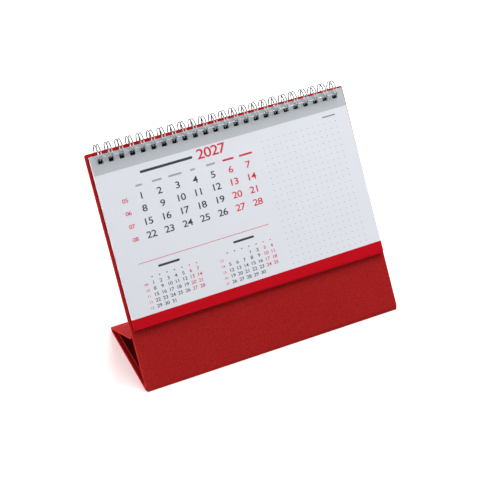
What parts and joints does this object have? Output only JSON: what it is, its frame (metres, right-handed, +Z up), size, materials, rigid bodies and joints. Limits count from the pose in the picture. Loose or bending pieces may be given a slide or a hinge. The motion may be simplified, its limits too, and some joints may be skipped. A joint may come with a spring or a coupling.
{
  "type": "desk calendar",
  "caption": "Easel desk calendar: month sheets on a closed twin-loop wire, on a folding stand of red leather-wrapped boards with a base, a propping rear panel and a tuck flap.",
  "frame": {"origin": "centre of the base's underside, on the table", "axes": "+X to the right along the folds, +Y to the back, +Z up; the sheets face -Y and up"},
  "size_m": [0.215, 0.0917, 0.1707],
  "materials": {
    "leather": "fine-grained red leatherette",
    "lining": "red lining paper, matt",
    "board": "grey board",
    "paper": "coated white paper, printed",
    "wire": "bright silver wire"
  },
  "bodies": {
    "base": {"base_cover": "leather", "base_board": "board", "base_lining": "lining", "rear_crease": "leather"},
    "front_panel": {"front_cover": "leather", "front_board": "board", "front_lining": "lining", "front_crease": "leather"},
    "rear_panel": {"rear_cover": "leather", "rear_board": "board", "rear_lining": "lining", "tuck_crease": "leather"},
    "tuck_flap": {"tuck_cover": "leather", "tuck_board": "board", "tuck_lining": "lining"},
    "wire": {"binding_wire": "wire"},
    "page_01": {"sheet_01": "paper"},
    "page_02": {"sheet_02": "paper"},
    "page_03": {"sheet_03": "paper"},
    "page_04": {"sheet_04": "paper"},
    "page_05": {"sheet_05": "paper"},
    "page_06": {"sheet_06": "paper"},
    "page_07": {"sheet_07": "paper"},
    "page_08": {"sheet_08": "paper"},
    "page_09": {"sheet_09": "paper"},
    "page_10": {"sheet_10": "paper"},
    "page_11": {"sheet_11": "paper"},
    "page_12": {"sheet_12": "paper"}
  },
  "joints": [
    {"name": "front_fold", "type": "hinge", "parent": "base", "child": "front_panel", "pos_m": [0, -0.04184, 0.001], "axis": [1, 0, 0], "range_deg": [0, 105]},
    {"name": "rear_fold", "type": "hinge", "parent": "base", "child": "rear_panel", "pos_m": [0, 0.0415, 0.002], "axis": [-1, 0, 0], "range_deg": [0, 69]},
    {"name": "tuck_fold", "type": "hinge", "parent": "rear_panel", "child": "tuck_flap", "pos_m": [0, -0.02042, 0.03564], "axis": [1, 0, 0], "range_deg": [0, 44.85]},
    {"name": "page_turn_01", "type": "hinge", "parent": "front_panel", "child": "page_01", "pos_m": [0, 0.04245, 0.16405], "axis": [-1, 0, 0], "range_deg": [0, 165]},
    {"name": "page_turn_02", "type": "hinge", "parent": "front_panel", "child": "page_02", "pos_m": [0, 0.04245, 0.16405], "axis": [-1, 0, 0], "range_deg": [0, 156.75]},
    {"name": "page_turn_03", "type": "hinge", "parent": "front_panel", "child": "page_03", "pos_m": [0, 0.04245, 0.16405], "axis": [-1, 0, 0], "range_deg": [0, 148.5]},
    {"name": "page_turn_04", "type": "hinge", "parent": "front_panel", "child": "page_04", "pos_m": [0, 0.04245, 0.16405], "axis": [-1, 0, 0], "range_deg": [0, 140.25]},
    {"name": "page_turn_05", "type": "hinge", "parent": "front_panel", "child": "page_05", "pos_m": [0, 0.04245, 0.16405], "axis": [-1, 0, 0], "range_deg": [0, 132]},
    {"name": "page_turn_06", "type": "hinge", "parent": "front_panel", "child": "page_06", "pos_m": [0, 0.04245, 0.16405], "axis": [-1, 0, 0], "range_deg": [0, 123.75]},
    {"name": "page_turn_07", "type": "hinge", "parent": "front_panel", "child": "page_07", "pos_m": [0, 0.04245, 0.16405], "axis": [-1, 0, 0], "range_deg": [0, 115.5]},
    {"name": "page_turn_08", "type": "hinge", "parent": "front_panel", "child": "page_08", "pos_m": [0, 0.04245, 0.16405], "axis": [-1, 0, 0], "range_deg": [0, 107.25]},
    {"name": "page_turn_09", "type": "hinge", "parent": "front_panel", "child": "page_09", "pos_m": [0, 0.04245, 0.16405], "axis": [-1, 0, 0], "range_deg": [0, 99]},
    {"name": "page_turn_10", "type": "hinge", "parent": "front_panel", "child": "page_10", "pos_m": [0, 0.04245, 0.16405], "axis": [-1, 0, 0], "range_deg": [0, 90.75]},
    {"name": "page_turn_11", "type": "hinge", "parent": "front_panel", "child": "page_11", "pos_m": [0, 0.04245, 0.16405], "axis": [-1, 0, 0], "range_deg": [0, 82.5]},
    {"name": "page_turn_12", "type": "hinge", "parent": "front_panel", "child": "page_12", "pos_m": [0, 0.04245, 0.16405], "axis": [-1, 0, 0], "range_deg": [0, 74.25]},
    {"name": "wire_turn", "type": "hinge", "parent": "front_panel", "child": "wire", "pos_m": [0, 0.04245, 0.16405], "axis": [-1, 0, 0], "range_deg": [0, 165]}
  ],
  "couplings": [
    {"joint": "tuck_fold", "follows": "rear_fold", "ratio": 0.65},
    {"joint": "page_turn_02", "follows": "page_turn_01", "ratio": 0.95},
    {"joint": "page_turn_03", "follows": "page_turn_01", "ratio": 0.9},
    {"joint": "page_turn_04", "follows": "page_turn_01", "ratio": 0.85},
    {"joint": "page_turn_05", "follows": "page_turn_01", "ratio": 0.8},
    {"joint": "page_turn_06", "follows": "page_turn_01", "ratio": 0.75},
    {"joint": "page_turn_07", "follows": "page_turn_01", "ratio": 0.7},
    {"joint": "page_turn_08", "follows": "page_turn_01", "ratio": 0.65},
    {"joint": "page_turn_09", "follows": "page_turn_01", "ratio": 0.6},
    {"joint": "page_turn_10", "follows": "page_turn_01", "ratio": 0.55},
    {"joint": "page_turn_11", "follows": "page_turn_01", "ratio": 0.5},
    {"joint": "page_turn_12", "follows": "page_turn_01", "ratio": 0.45},
    {"joint": "wire_turn", "follows": "page_turn_01", "ratio": 1}
  ]
}
